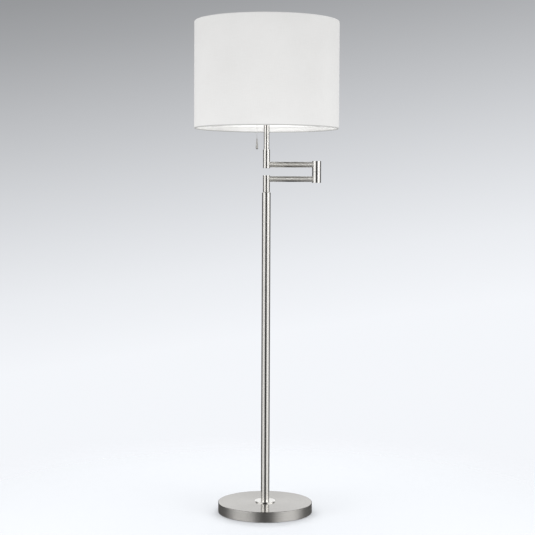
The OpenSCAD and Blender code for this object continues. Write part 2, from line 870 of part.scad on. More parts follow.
// Threaded contact shell for the bulb's cap
module screw_shell() {
    h = sleeve_z + sleeve_h - 2 - screw_shell_z;
    color(brass)
        translate([0, 0, screw_shell_z])
            difference() {
                union() {
                    cylinder(r = shell_r, h = h);
                    cylinder(r = shell_r + 2, h = 1);
                }
                translate([0, 0, 1]) cylinder(r = shell_r - shell_wall, h = h);
                translate([0, 0, -over]) cylinder(r = 7, h = 3 * over);
            }
}

// Spring tongue under the bulb
module centre_contact() {
    color(brass)
        translate([0, 0, insert_z + insert_h]) {
            translate([-3, -6, 0]) cube([6, 12, 0.6]);
            cylinder(r = 2.6, h = bulb_cap_z - insert_z - insert_h - 2.3);
        }
}

// Ring nut that clamps the shade's hub, with grips around it
module shade_nut(z) {
    grips = 24;
    color(white_plastic)
        translate([0, 0, z])
            difference() {
                cylinder(d = shade_nut_d, h = shade_nut_h);
                translate([0, 0, -over]) cylinder(r = sleeve_r + seat, h = shade_nut_h + 2 * over);
                for (i = [0:grips - 1])
                    rotate([0, 0, i * 360 / grips])
                        translate([shade_nut_d / 2 + 0.6, 0, -over])
                            cylinder(r = 1.6, h = shade_nut_h + 2 * over);
            }
}

module shade_nut_lower() { shade_nut(hub_z - shade_nut_h - seat); }
module shade_nut_upper() { shade_nut(hub_z + hub_t + seat); }

// ---- bulb ----

module bulb_cap() {
    ridges = 5;
    pitch = 3.6;
    color(polished)
        translate([0, 0, bulb_cap_z]) {
            translate([0, 0, -2.2]) cylinder(r1 = 4, r2 = 5, h = 2.2);
            cylinder(r1 = 7, r2 = bulb_cap_r - 0.7, h = 3);
            translate([0, 0, 3]) cylinder(r = bulb_cap_r - 0.7, h = bulb_cap_h - 5);
            for (i = [0:ridges - 1])
                translate([0, 0, 4 + i * pitch]) {
                    cylinder(r1 = bulb_cap_r - 0.7, r2 = bulb_cap_r, h = pitch / 3);
                    translate([0, 0, pitch / 3]) cylinder(r1 = bulb_cap_r, r2 = bulb_cap_r - 0.7, h = pitch / 3);
                }
        }
}

// Half section of the bulb: a ball, a curved shoulder and a straight neck
module bulb_section(inset) {
    centre_x = bulb_neck_r + bulb_shoulder_r;
    drop = sqrt(pow(bulb_r + bulb_shoulder_r, 2) - pow(centre_x, 2));
    meet = bulb_r / (bulb_r + bulb_shoulder_r);
    intersection() {
        union() {
            translate([0, drop]) circle(r = bulb_r - inset);
            difference() {
                translate([0, -3 * inset]) square([centre_x * meet, drop * (1 - meet) + 3 * inset]);
                translate([centre_x, 0]) circle(r = bulb_shoulder_r + inset);
                translate([bulb_neck_r - inset, -over - 3 * inset]) square([centre_x, over + 3 * inset]);
            }
        }
        translate([0, -5]) square([bulb_r, 3 * bulb_r + bulb_shoulder_r]);
    }
}

module bulb_glass() {
    color([0.96, 0.96, 0.94, 0.9])
        translate([0, 0, bulb_neck_z])
            difference() {
                rotate_extrude() bulb_section(0);
                rotate_extrude() bulb_section(bulb_wall);
            }
}

// ---- shade ----

// Hub with three spokes that run down to the lower ring
module shade_fitter() {
    hub_r = shade_nut_d / 2 + 2;
    run = ring_r - hub_r + 1;
    drop = hub_z + hub_t / 2 - bottom_ring_z;
    color(polished)
        difference() {
            union() {
                translate([0, 0, hub_z]) cylinder(r = hub_r, h = hub_t);
                for (a = [90, 210, 330])
                    rotate([0, 0, a])
                        translate([hub_r - 1, 0, hub_z + hub_t / 2])
                            rotate([0, atan2(drop, run), 0]) rod_x(spoke_d / 2, norm([run, drop]));
            }
            translate([0, 0, hub_z - 10]) cylinder(r = sleeve_r + 4 * seat, h = 20);
            translate([0, 0, hub_z - 10]) cylinder(r = hub_r - 1.5, h = 10);
            translate([0, 0, hub_z + hub_t]) cylinder(r = hub_r - 1.5, h = 10);
            translate([0, 0, bottom_ring_z]) wire_ring(ring_r, ring_wire_d / 2 + seat);
        }
}

module shade_bottom_ring() {
    color(polished) translate([0, 0, bottom_ring_z]) wire_ring(ring_r, ring_wire_d / 2);
}

module shade_top_ring() {
    color(polished) translate([0, 0, top_ring_z]) wire_ring(ring_r, ring_wire_d / 2);
}

module shade_lining() {
    color([0.98, 0.98, 0.97]) translate([0, 0, shade_z]) pipe(lining_r, lining_inner_r, shade_h);
}

module shade_fabric() {
    color([0.93, 0.93, 0.91]) translate([0, 0, shade_z]) pipe(shade_r, shade_r - fabric_t, shade_h);
}

// ---- pull switch ----

module switch_slider() {
    color(nylon) translate([chain_x, 0, slider_z]) rounded_disc(boss_bore_r - 0.3, slider_h, 0.6);
}

module pull_chain() {
    color(polished) swept_tube(chain_points, chain_d / 2, 8, [0, 1, 0]);
}

// Slim tapered knob with a rounded foot
module pull_knob() {
    top_r = 1.6;
    foot_r = knob_d / 2;
    color(polished)
        translate([chain_x, 0, knob_top_z - knob_len - seat])
            rotate_extrude() {
                polygon([[0, 2], [foot_r, 2], [foot_r, 4], [top_r, knob_len - 1], [top_r - 0.6, knob_len], [0, knob_len]]);
                intersection() {
                    translate([foot_r - 2, 2]) circle(r = 2);
                    square([foot_r, 3]);
                }
                square([foot_r - 2, 3]);
            }
}

base_felt();
base_backing();
base_weight();
base_shell();
cable_gland();
terminal_block();
pole_washer();
pole_tube();
pole_foot_plug();
base_nipple();
base_lock_washer();
base_nut();
pole_top_collar();
swivel_bush();
stop_screw();
flex_stand();
thrust_washer();
swivel_spindle();
spindle_circlip();
lower_riser();
lower_riser_cap();
lower_arm_tube();
barrel_lower();
barrel_lower_cap();
pivot_bolt();
friction_disc();
disc_spring();
pivot_nut();
flex_lower_arm();
barrel_upper();
barrel_upper_cap();
upper_arm_tube();
upper_riser();
upper_riser_cap();
stem_coupler();
stem_tube();
stem_top_plug();
stem_nipple();
stem_locknut();
flex_upper_arm();
switch_housing();
chain_eyelet();
switch_spring();
lampholder_sleeve();
lampholder_insert();
screw_shell();
centre_contact();
shade_nut_lower();
shade_nut_upper();
bulb_cap();
bulb_glass();
shade_fitter();
shade_bottom_ring();
shade_top_ring();
shade_lining();
shade_fabric();
switch_slider();
pull_chain();
pull_knob();
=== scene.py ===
"""Looks of the adjustable arm floor lamp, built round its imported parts.

Lengths are metres. +Z is up, the pole stands on the Z axis and the arm folds out to +X.
"""

import sys

import json
import logging
import math
import random
from abc import ABC, abstractmethod
from collections.abc import Iterable, Mapping, Sequence
from dataclasses import dataclass, field, replace
from enum import Enum
from typing import Any, ClassVar, Union

import bmesh
import bpy
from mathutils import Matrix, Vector

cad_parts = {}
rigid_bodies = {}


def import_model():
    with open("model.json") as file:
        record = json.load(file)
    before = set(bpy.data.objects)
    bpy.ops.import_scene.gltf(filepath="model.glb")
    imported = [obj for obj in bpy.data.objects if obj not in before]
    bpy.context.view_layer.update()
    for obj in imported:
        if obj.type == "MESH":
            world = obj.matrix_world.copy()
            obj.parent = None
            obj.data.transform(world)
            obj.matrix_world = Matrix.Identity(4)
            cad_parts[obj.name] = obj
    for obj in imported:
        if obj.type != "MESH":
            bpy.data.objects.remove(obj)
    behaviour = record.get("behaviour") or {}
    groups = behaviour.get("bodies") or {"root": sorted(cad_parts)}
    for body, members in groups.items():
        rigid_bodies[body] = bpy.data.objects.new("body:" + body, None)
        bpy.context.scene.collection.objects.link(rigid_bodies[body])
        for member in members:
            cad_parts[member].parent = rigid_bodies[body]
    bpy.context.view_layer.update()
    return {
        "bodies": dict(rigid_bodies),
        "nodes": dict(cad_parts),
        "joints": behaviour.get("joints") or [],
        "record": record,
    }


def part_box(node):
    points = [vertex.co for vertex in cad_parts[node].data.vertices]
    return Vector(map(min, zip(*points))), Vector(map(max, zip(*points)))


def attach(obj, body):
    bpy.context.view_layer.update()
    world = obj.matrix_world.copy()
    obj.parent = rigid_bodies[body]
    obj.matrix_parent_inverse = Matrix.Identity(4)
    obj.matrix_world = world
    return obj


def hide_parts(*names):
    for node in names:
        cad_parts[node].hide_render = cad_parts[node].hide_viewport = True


log = logging.getLogger("lamp")

Point = tuple[float, float, float]
Pair = tuple[float, float]
Colour = tuple[float, float, float]
Feed = Union["Value", float, bool, str, Sequence[float], bpy.types.ID]

MM = 0.001
ORIGIN: Point = (0.0, 0.0, 0.0)


# ---- node trees ----


class Value:
    """An output socket that can be used in Python sums."""

    def __init__(self, graph: "Graph", socket: bpy.types.NodeSocket) -> None:
        """Wraps one output socket of a graph's tree."""
        self.graph = graph
        self.socket = socket

    def _maths(self, operation: str, first: Feed, second: Feed) -> "Value":
        """Adds one Math node and returns its result."""
        return self.graph.node("ShaderNodeMath", {"operation": operation}, {0: first, 1: second})[0]

    def __add__(self, other: Feed) -> "Value":
        """self + other."""
        return self._maths("ADD", self, other)

    def __radd__(self, other: Feed) -> "Value":
        """other + self."""
        return self._maths("ADD", other, self)

    def __sub__(self, other: Feed) -> "Value":
        """self - other."""
        return self._maths("SUBTRACT", self, other)

    def __rsub__(self, other: Feed) -> "Value":
        """other - self."""
        return self._maths("SUBTRACT", other, self)

    def __mul__(self, other: Feed) -> "Value":
        """self * other."""
        return self._maths("MULTIPLY", self, other)

    def __truediv__(self, other: Feed) -> "Value":
        """self / other."""
        return self._maths("DIVIDE", self, other)

    def __pow__(self, other: Feed) -> "Value":
        """self ** other."""
        return self._maths("POWER", self, other)

    def apply(self, operation: str, other: Feed = 0.0) -> "Value":
        """Returns a named operation of this value, such as SINE or MAXIMUM.

        Args:
            operation: The Math node's operation.
            other: The second operand, where the operation takes one.

        Returns:
            The result.
        """
        return self._maths(operation, self, other)


class Node:
    """A node that was just made; an index or name gives one of its outputs."""

    def __init__(self, graph: "Graph", made: bpy.types.Node) -> None:
        """Keeps the node with the graph that holds it."""
        self.graph = graph
        self.made = made

    def __getitem__(self, key: int | str) -> Value:
        """Returns the output with that index or name."""
        return Value(self.graph, self.made.outputs[key])


class Graph:
    """Builds the nodes of one tree."""

    def __init__(self, tree: bpy.types.NodeTree) -> None:
        """Starts on an emptied tree."""
        tree.nodes.clear()
        self.tree = tree

    def node(
        self,
        kind: str,
        settings: Mapping[str, Any] | None = None,
        feeds: Mapping[int | str, Feed] | None = None,
    ) -> Node:
        """Adds one node.

        Args:
            kind: The node's type name.
            settings: What is set before its sockets, such as an operation or a ramp's stops.
            feeds: A value or a link for each named or numbered input.

        Returns:
            The node.
        """
        made = self.tree.nodes.new(kind)
        for key, value in (settings or {}).items():
            if key == "stops":
                self._set_stops(made.color_ramp, value)
            elif key == "captures":
                for name in value:
                    made.capture_items.new("FLOAT", name)
            else:
                setattr(made, key, value)
        for key, value in (feeds or {}).items():
            self.feed(made.inputs[key], value)
        return Node(self, made)

    def feed(self, socket: bpy.types.NodeSocket, value: Feed) -> None:
        """Links a value to a socket, or sets the socket to a constant."""
        if isinstance(value, Value):
            self.tree.links.new(value.socket, socket)
        else:
            socket.default_value = value

    @staticmethod
    def _set_stops(ramp: bpy.types.ColorRamp, stops: Sequence[tuple[float, Colour]]) -> None:
        """Gives a colour ramp its stops, each a place and a colour."""
        while len(ramp.elements) < len(stops):
            ramp.elements.new(1.0)
        for element, (place, colour) in zip(ramp.elements, stops):
            element.position = place
            element.color = (*colour, 1.0)

    def mix(self, factor: Feed, first: Feed, second: Feed) -> Value:
        """Returns a colour between two, by a factor from 0 to 1."""
        first, second = (rgba(c) for c in (first, second))
        feeds = {0: factor, 6: first, 7: second}
        return self.node("ShaderNodeMix", {"data_type": "RGBA"}, feeds)[2]

    def ramp(self, value: Feed, stops: Sequence[tuple[float, float]]) -> Value:
        """Returns a grey ramp of a value; each stop is a place and a level."""
        greys = [(place, (level,) * 3) for place, level in stops]
        return self.node("ShaderNodeValToRGB", {"stops": greys}, {0: value})[0]

    def smooth(self, value: Feed, low: float, high: float) -> Value:
        """Returns 0 below low, 1 above high, and a smooth step between."""
        feeds = {0: value, 1: low, 2: high, 3: 0.0, 4: 1.0}
        return self.node("ShaderNodeMapRange", {"interpolation_type": "SMOOTHSTEP"}, feeds)[0]

    def place(self) -> Value:
        """Returns the place on the object, in its own coordinates."""
        return self.node("ShaderNodeTexCoord")["Object"]

    def scaled(self, vector: Feed, scale: Point) -> Value:
        """Returns a vector whose parts are multiplied one by one."""
        settings = {"operation": "MULTIPLY"}
        return self.node("ShaderNodeVectorMath", settings, {0: vector, 1: scale})[0]

    def noise(self, vector: Feed, scale: float, detail: float = 2.0) -> Value:
        """Returns a noise of about 0 to 1 with that many waves to the metre."""
        feeds = {"Vector": vector, "Scale": scale, "Detail": detail}
        return self.node("ShaderNodeTexNoise", None, feeds)[0]

    def bump(self, height: Feed, depth: float, strength: float = 1.0) -> Value:
        """Returns the normal of a relief whose height of 1 stands for depth metres."""
        feeds = {"Height": height, "Distance": depth, "Strength": strength}
        return self.node("ShaderNodeBump", None, feeds)[0]


def rgba(colour: Feed) -> Feed:
    """Returns a colour of three parts with an alpha of 1, and anything else as it is."""
    if isinstance(colour, (tuple, list)) and len(colour) == 3:
        return (*colour, 1.0)
    return colour


# ---- finishes ----


@dataclass(frozen=True)
class Finish(ABC):
    """A surface finish, which becomes one procedural material."""

    name: str

    @abstractmethod
    def inputs(self, graph: Graph) -> dict[str, Feed]:
        """Returns what the finish gives to the surface shader's inputs."""

    def material(self) -> bpy.types.Material:
        """Returns the finish's material, which is made at its first use."""
        found = bpy.data.materials.get(self.name)
        if found is not None:
            return found
        made = bpy.data.materials.new(self.name)
        made.use_nodes = True
        graph = Graph(made.node_tree)
        feeds = {key: rgba(value) for key, value in self.inputs(graph).items()}
        surface = graph.node("ShaderNodeBsdfPrincipled", None, feeds)
        graph.node("ShaderNodeOutputMaterial", None, {"Surface": surface[0]})
        return made


class Turned(Enum):
    """The axis that a metal part's grain runs round, as the parts of a place vector."""

    ROUND_Z = ("Z", "X", "Y")
    ROUND_X = ("X", "Y", "Z")


@dataclass(frozen=True)
class BrushedNickel(Finish):
    """Satin nickel plate over a surface that was brushed while it turned."""

    axis: Turned = Turned.ROUND_Z
    centre: Point = ORIGIN
    bright: Colour = (0.76, 0.745, 0.715)
    dull: Colour = (0.725, 0.71, 0.68)
    roughness: float = 0.2
    stretch: float = 0.6
    stretch_turn: float = 0.25
    line_pitch: float = 0.35 * MM
    line_depth: float = 0.001 * MM
    line_wander: float = 1.5
    line_roughness: float = 0.04
    patch_waves: float = 22.0
    patch_roughness: float = 0.06

    def wear(self, graph: Graph, place: Value) -> Feed:
        """Returns what is added to the roughness from place to place."""
        return (graph.noise(place, self.patch_waves) - 0.5) * self.patch_roughness

    def inputs(self, graph: Graph) -> dict[str, Feed]:
        """Fine lines round the axis, with soft patches where the plate is duller."""
        place = graph.place()
        parts = graph.node("ShaderNodeSeparateXYZ", None, {0: place})
        along, side, up = self.axis.value
        start = dict(zip("XYZ", self.centre))
        run = parts[along]
        across = parts[side] - start[side]
        over = parts[up] - start[up]
        radius = (across * across + over * over) ** 0.5
        safe = radius.apply("MAXIMUM", 0.1 * MM)
        wander = self.line_wander
        turned = {0: across / safe * wander, 1: over / safe * wander, 2: run / self.line_pitch}
        direction = graph.node("ShaderNodeCombineXYZ", None, turned)[0]
        feeds = {"Vector": direction, "W": radius / self.line_pitch, "Scale": 1.0, "Detail": 1.0}
        lines = graph.node("ShaderNodeTexNoise", {"noise_dimensions": "4D"}, feeds)[0]
        change = (lines - 0.5) * self.line_roughness
        return {
            "Base Color": graph.mix(graph.smooth(lines, 0.3, 0.7), self.dull, self.bright),
            "Roughness": self.roughness + change + self.wear(graph, place),
            "Metallic": 1.0,
            "Anisotropic": self.stretch,
            "Anisotropic Rotation": self.stretch_turn,
            "Normal": graph.bump(lines, self.line_depth),
        }


@dataclass(frozen=True)
class SpunNickel(BrushedNickel):
    """Brushed nickel on the spun base, whose side was brushed more coarsely than its top."""

    side_roughness: float = 0.3
    side_top: float = 28.2 * MM
    top_start: float = 29.4 * MM

    def wear(self, graph: Graph, place: Value) -> Feed:
        """Returns the plate's patches, and the coarser brushing below the upper edge."""
        height = graph.node("ShaderNodeSeparateXYZ", None, {0: place})["Z"]
        side = 1.0 - graph.smooth(height, self.side_top, self.top_start)
        return super().wear(graph, place) + side * self.side_roughness


@dataclass(frozen=True)
class PolishedNickel(Finish):
    """Bright nickel plate with the hair scratches of handling."""

    colour: Colour = (0.93, 0.92, 0.90)
    worn: Colour = (0.85, 0.84, 0.81)
    roughness: float = 0.07

    def inputs(self, graph: Graph) -> dict[str, Feed]:
        """Clear plate, faintly clouded and scratched."""
        place = graph.place()
        cloud = graph.noise(place, 160.0, 3.0)
        scratch = graph.noise(graph.scaled(place, (2600.0, 120.0, 900.0)), 1.0)
        return {
            "Base Color": graph.mix(graph.smooth(cloud, 0.35, 0.75), self.colour, self.worn),
            "Roughness": self.roughness + cloud * 0.05,
            "Metallic": 1.0,
            "Normal": graph.bump(scratch, 0.001 * MM),
        }


@dataclass(frozen=True)
class PlainMetal(Finish):
    """Zinc, brass, cast iron or aluminium as it comes from its process."""

    light: Colour = (0.66, 0.68, 0.70)
    dark: Colour = (0.46, 0.48, 0.50)
    roughness: float = 0.38
    grain: float = 900.0
    relief: float = 0.01 * MM
    metallic: float = 1.0

    def inputs(self, graph: Graph) -> dict[str, Feed]:
        """A crystalline or cast grain with slow changes of tone."""
        place = graph.place()
        feeds = {"Vector": place, "Scale": self.grain}
        cells = graph.node("ShaderNodeTexVoronoi", None, feeds)["Distance"]
        tone = graph.noise(place, self.grain / 6, 4.0)
        darker = graph.smooth(tone + cells * 0.3, 0.35, 0.95)
        return {
            "Base Color": graph.mix(darker, self.light, self.dark),
            "Roughness": self.roughness + (tone - 0.5) * 0.25,
            "Metallic": self.metallic,
            "Normal": graph.bump(tone + cells * 0.4, self.relief),
        }


@dataclass(frozen=True)
class Moulded(Finish):
    """Moulded plastic, glaze, glass or enamel: a body colour under a skin."""

    colour: Colour = (0.86, 0.86, 0.84)
    roughness: float = 0.42
    coat: float = 0.1
    grain: float = 1800.0
    relief: float = 0.012 * MM
    tone_change: float = 0.05

    def inputs(self, graph: Graph) -> dict[str, Feed]:
        """An eroded-mould texture, and a body colour that is not quite even."""
        place = graph.place()
        tone = graph.noise(place, 55.0, 3.0)
        texture = graph.noise(place, self.grain, 2.0)
        darker = tuple(part * (1 - self.tone_change) for part in self.colour)
        return {
            "Base Color": graph.mix(graph.smooth(tone, 0.3, 0.75), self.colour, darker),
            "Roughness": self.roughness + (texture - 0.5) * 0.12,
            "Coat Weight": self.coat,
            "Coat Roughness": 0.12,
            "Normal": graph.bump(texture, self.relief),
        }


@dataclass(frozen=True)
class OpalGlass(Finish):
    """White glass of a bulb, which glows faintly."""

    colour: Colour = (0.93, 0.93, 0.92)
    dusted: Colour = (0.89, 0.89, 0.88)
    glow_colour: Colour = (1.0, 0.98, 0.95)
    glow: float = 0.0

    def inputs(self, graph: Graph) -> dict[str, Feed]:
        """A dusted inside seen through clear glass."""
        place = graph.place()
        dust = graph.noise(place, 900.0, 3.0)
        return {
            "Base Color": graph.mix(graph.smooth(dust, 0.3, 0.8), self.colour, self.dusted),
            "Roughness": 0.22 + dust * 0.08,
            "Coat Weight": 1.0,
            "Coat Roughness": 0.05,
            "Emission Color": self.glow_colour,
            "Emission Strength": self.glow,
        }


@dataclass(frozen=True)
class Fibre(Finish):
    """Felt or hardboard: pressed fibres of two tones."""

    light: Colour = (0.060, 0.060, 0.062)
    dark: Colour = (0.020, 0.020, 0.021)
    fibre: float = 1400.0
    relief: float = 0.25 * MM

    def inputs(self, graph: Graph) -> dict[str, Feed]:
        """Short hairs in every direction over a cloudy body."""
        place = graph.place()
        bent = graph.noise(place, self.fibre / 5, 4.0)
        hairs = graph.noise(graph.scaled(place, (1.0, 0.25, 1.0)), self.fibre, 4.0)
        other = graph.noise(graph.scaled(place, (0.25, 1.0, 1.0)), self.fibre, 4.0)
        height = hairs.apply("MAXIMUM", other) * 0.7 + bent * 0.3
        return {
            "Base Color": graph.mix(graph.smooth(height, 0.35, 0.75), self.dark, self.light),
            "Roughness": 0.9 + (bent - 0.5) * 0.1,
            "Normal": graph.bump(height, self.relief),
        }


@dataclass(frozen=True)
class ShadeCloth(Finish):
    """White cotton weave laminated to a film; its UV map is in metres of cloth."""

    light: Colour = (0.785, 0.782, 0.775)
    dark: Colour = (0.742, 0.738, 0.729)
    # painted shade: a grey that stands in for the shadow under the rolled lower hem
    painted_fold_shade: Colour = (0.40, 0.40, 0.39)
    lower_edge: float = 1121 * MM
    edge_height: float = 4.5 * MM
    thread: float = 0.7 * MM
    relief: float = 0.05 * MM

    def inputs(self, graph: Graph) -> dict[str, Feed]:
        """Crossing threads, each thicker in places, over a faint change of tone, with painted shade
        greying the cloth's lowest few millimetres.
        """
        cloth = graph.node("ShaderNodeUVMap", {"uv_map": "UVMap"})[0]
        parts = graph.node("ShaderNodeSeparateXYZ", None, {0: cloth})
        turn = math.pi / self.thread
        weave = (parts["X"] * turn).apply("SINE") * (parts["Y"] * turn).apply("SINE")
        warp = graph.noise(graph.scaled(cloth, (1 / self.thread, 30.0, 1.0)), 1.0)
        weft = graph.noise(graph.scaled(cloth, (30.0, 1 / self.thread, 1.0)), 1.0)
        threads = (warp + weft) * 0.5
        relief = threads + weave * 0.18
        cloud = graph.noise(cloth, 9.0)
        tone = threads * 0.7 + cloud * 0.3
        colour = graph.mix(graph.smooth(tone, 0.3, 0.62), self.dark, self.light)
        height = graph.node("ShaderNodeSeparateXYZ", None, {0: graph.place()})["Z"]
        # painted shade: the cloth is darkened below this height, up to the lower hem's edge, in
        # place of the hem's shadow
        unshaded_above_hem = graph.smooth(height, self.lower_edge, self.lower_edge + self.edge_height)
        return {
            "Base Color": graph.mix(unshaded_above_hem, self.painted_fold_shade, colour),
            "Roughness": 0.82 + (threads - 0.5) * 0.15,
            "Specular IOR Level": 0.25,
            "Sheen Weight": 0.15,
            "Sheen Roughness": 0.5,
            "Normal": graph.bump(relief, self.relief),
        }


class Metals:
    """The metal finishes of the lamp."""

    POLE = BrushedNickel("nickel_round_pole")
    # painted highlight: the arm tubes get a lighter plate than the pole's same nickel, standing in
    # for the bright line along their middle
    ARM_TUBE_PAINTED_HIGHLIGHT = BrushedNickel(
        "nickel_round_arm",
        axis=Turned.ROUND_X,
        bright=(0.95, 0.935, 0.89),
        dull=(0.89, 0.875, 0.83),
        roughness=0.56,
        stretch=0.9,
        stretch_turn=0.0,
    )
    FINE = BrushedNickel(
        "nickel_fine_collar",
        bright=(0.88, 0.87, 0.84),
        dull=(0.82, 0.81, 0.78),
        roughness=0.14,
    )
    # painted shade: the base's plate is made darker than the pole's same nickel, to stand in for
    # its shading
    BASE_PAINTED_SHADE = SpunNickel(
        "nickel_spun_base",
        bright=(0.58, 0.567, 0.545),
        dull=(0.51, 0.497, 0.475),
        roughness=0.17,
        line_pitch=0.5 * MM,
        line_depth=0.006 * MM,
    )
    POLISHED = PolishedNickel("nickel_polished")
    CHAIN = PolishedNickel(
        "nickel_chain",
        roughness=0.4,
        colour=(0.93, 0.925, 0.91),
        worn=(0.84, 0.83, 0.81),
    )
    KNOB = PolishedNickel(
        "nickel_knob",
        roughness=0.34,
        colour=(0.56, 0.55, 0.53),
        worn=(0.49, 0.48, 0.46),
    )
    ZINC = PlainMetal("zinc_plate")
    BRASS = PlainMetal(
        "brass_turned",
        light=(0.78, 0.60, 0.28),
        dark=(0.62, 0.46, 0.20),
        roughness=0.3,
    )
    CASTING = PlainMetal(
        "iron_casting",
        light=(0.085, 0.085, 0.09),
        dark=(0.035, 0.035, 0.037),
        roughness=0.75,
        grain=420.0,
        relief=0.25 * MM,
        metallic=0.4,
    )
    LAMP_CAP = PlainMetal(
        "bulb_cap_metal",
        light=(0.80, 0.80, 0.80),
        dark=(0.66, 0.66, 0.66),
        roughness=0.3,
    )


class Bodies:
    """The finishes that are not metal."""

    BLACK_NYLON = Moulded(
        "nylon_black",
        colour=(0.022, 0.022, 0.023),
        roughness=0.5,
        tone_change=0.25,
    )
    NYLON = Moulded("nylon_natural", colour=(0.78, 0.77, 0.70), roughness=0.46)
    WHITE_PLASTIC = Moulded("plastic_white", colour=(0.87, 0.87, 0.855))
    PORCELAIN = Moulded(
        "porcelain_glazed",
        colour=(0.88, 0.87, 0.84),
        roughness=0.3,
        coat=1.0,
        relief=0.0,
    )
    POWDER_COAT = Moulded(
        "powder_coat_white",
        colour=(0.86, 0.86, 0.855),
        roughness=0.4,
        grain=650.0,
        relief=0.06 * MM,
    )
    FILM = Moulded(
        "shade_film",
        colour=(0.93, 0.93, 0.92),
        roughness=0.5,
        grain=300.0,
        relief=0.02 * MM,
    )
    SHEATH = Moulded("silicone_sheath", colour=(0.80, 0.80, 0.78), roughness=0.6, grain=2500.0)
    GLASS = OpalGlass("glass_opal", glow=5.5)
    FELT = Fibre("felt_charcoal")
    BOARD = Fibre("hardboard", light=(0.30, 0.20, 0.12), dark=(0.19, 0.12, 0.07), relief=0.06 * MM)
    CLOTH = ShadeCloth("shade_cloth_white")


# ---- shared making ----


Frame = dict[str, Any]


def dress(frame: Frame, finish: Finish, *nodes: str) -> None:
    """Gives CAD nodes a finish.

    Args:
        frame: The loaded frame.
        finish: What they get.
        nodes: Their names.
    """
    for name in nodes:
        for place in frame["nodes"][name].material_slots:
            place.material = finish.material()
    log.info("dressed %s with %s", ", ".join(nodes), finish.name)


def mesh_object(name: str, mesh: bpy.types.Mesh, *finishes: Finish) -> bpy.types.Object:
    """Returns a new object in the scene, with its finishes in its material slots."""
    made = bpy.data.objects.new(name, mesh)
    bpy.context.scene.collection.objects.link(made)
    for finish in finishes:
        mesh.materials.append(finish.material())
    return made


def polyline(name: str, points: Sequence[Sequence[float]]) -> bpy.types.Mesh:
    """Returns a mesh of edges from each point to the next."""
    mesh = bpy.data.meshes.new(name)
    edges = [(i, i + 1) for i in range(len(points) - 1)]
    mesh.from_pydata([tuple(p) for p in points], edges, [])
    return mesh


def bake_modifiers(made: bpy.types.Object) -> None:
    """Turns an object's evaluated shape into its plain mesh and removes its modifiers."""
    evaluated = made.evaluated_get(bpy.context.evaluated_depsgraph_get())
    mesh = bpy.data.meshes.new_from_object(evaluated)
    mesh.name = made.name
    made.modifiers.clear()
    made.data = mesh


class ShapeTree(Graph):
    """A Geometry Nodes tree with named inputs, run once on one object."""

    def __init__(self, name: str) -> None:
        """Starts a tree with a geometry input and a geometry output."""
        super().__init__(bpy.data.node_groups.new(name, "GeometryNodeTree"))
        self.given: dict[str, tuple[str, Any]] = {}
        for way in ("INPUT", "OUTPUT"):
            self.tree.interface.new_socket("Geometry", in_out=way, socket_type="NodeSocketGeometry")
        self.source = self.node("NodeGroupInput")

    def add_input(self, name: str, kind: str, value: Feed) -> Value:
        """Adds a named input.

        Args:
            name: What the input is called.
            kind: Float, Int or Material.
            value: What the modifier gives it.

        Returns:
            The input as a value for the tree's nodes.
        """
        kind = f"NodeSocket{kind}"
        socket = self.tree.interface.new_socket(name, in_out="INPUT", socket_type=kind)
        self.given[name] = (socket.identifier, value)
        return self.source[name]

    def run(self, target: bpy.types.Object, shape: Value, material: Value) -> None:
        """Ends the tree and replaces the target's mesh by what the tree makes of it."""
        real = self.node("GeometryNodeRealizeInstances", None, {0: shape})
        smooth = self.node("GeometryNodeSetShadeSmooth", None, {0: real[0], "Shade Smooth": True})
        dressed = self.node("GeometryNodeSetMaterial", None, {0: smooth[0], "Material": material})
        self.node("NodeGroupOutput", None, {0: dressed[0]})
        modifier = target.modifiers.new(self.tree.name, "NODES")
        modifier.node_group = self.tree
        for identifier, value in self.given.values():
            modifier[identifier] = value
        bake_modifiers(target)


# ---- the lamp ----


